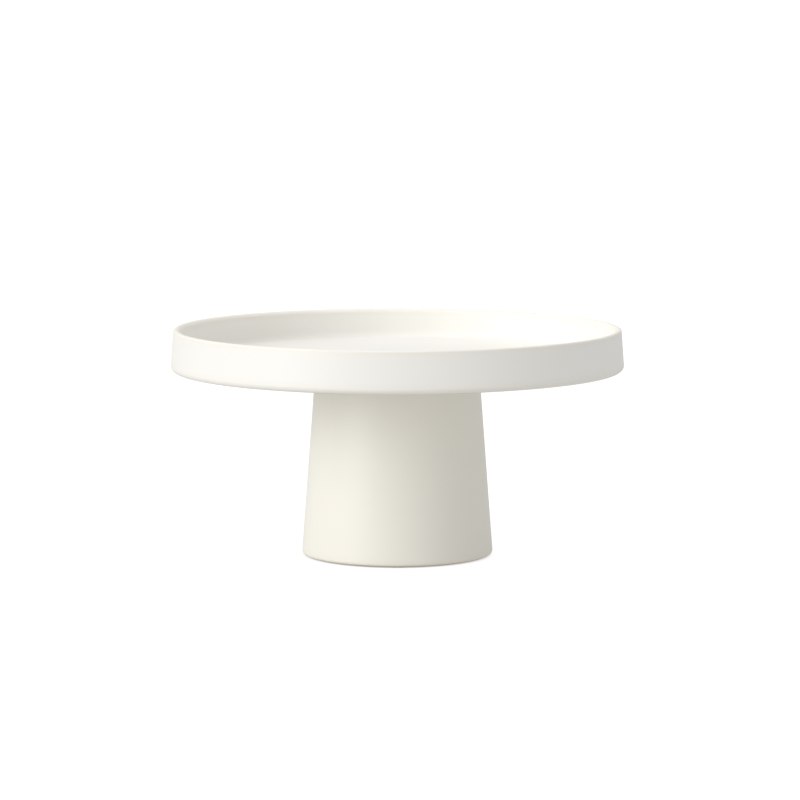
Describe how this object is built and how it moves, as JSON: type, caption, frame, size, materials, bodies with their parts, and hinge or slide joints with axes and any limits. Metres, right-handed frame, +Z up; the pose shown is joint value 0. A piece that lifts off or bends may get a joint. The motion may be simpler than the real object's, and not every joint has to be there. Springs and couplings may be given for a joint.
{
  "type": "pedestal cake stand",
  "caption": "Round rimmed cake plate on a hollow tapered pedestal, held by a lobed hand screw turned from underneath, on small soft foot pads.",
  "frame": {"origin": "point on the table under the middle of the stand", "axes": "+Z up along the stand's axis of revolution; +X passes over the first foot pad"},
  "size_m": [0.305, 0.305, 0.1534],
  "materials": {
    "glaze": "satin",
    "silicone": "matte",
    "insert_brass": "satin",
    "washer_rubber": "matte",
    "zinc_steel": "zinc plated",
    "knob_nylon": "moulded, fine texture"
  },
  "bodies": {
    "base": {"pedestal": "glaze", "seat_gasket": "silicone", "foot_pad_1": "silicone", "foot_pad_2": "silicone", "foot_pad_3": "silicone", "foot_pad_4": "silicone"},
    "plate": {"cake_plate": "glaze", "plate_insert": "insert_brass"},
    "washers": {"cushion_washer": "washer_rubber", "steel_washer": "zinc_steel"},
    "clamp_screw": {"screw_stud": "zinc_steel", "screw_knob": "knob_nylon"}
  },
  "joints": [
    {"name": "plate_lift", "type": "slide", "parent": "base", "child": "plate", "axis": [0, 0, 1], "range_m": [0, 0.06]},
    {"name": "washer_drop", "type": "slide", "parent": "base", "child": "washers", "axis": [0, 0, -1], "range_m": [0, 0.0126]},
    {"name": "screw_turn", "type": "hinge", "parent": "washers", "child": "clamp_screw", "pos_m": [0, 0, 0.1], "axis": [0, 0, -1], "range_deg": [0, 3600]}
  ],
  "couplings": [
    {"joint": "washer_drop", "follows": "screw_turn", "m_per_rad": 0.00019894}
  ]
}
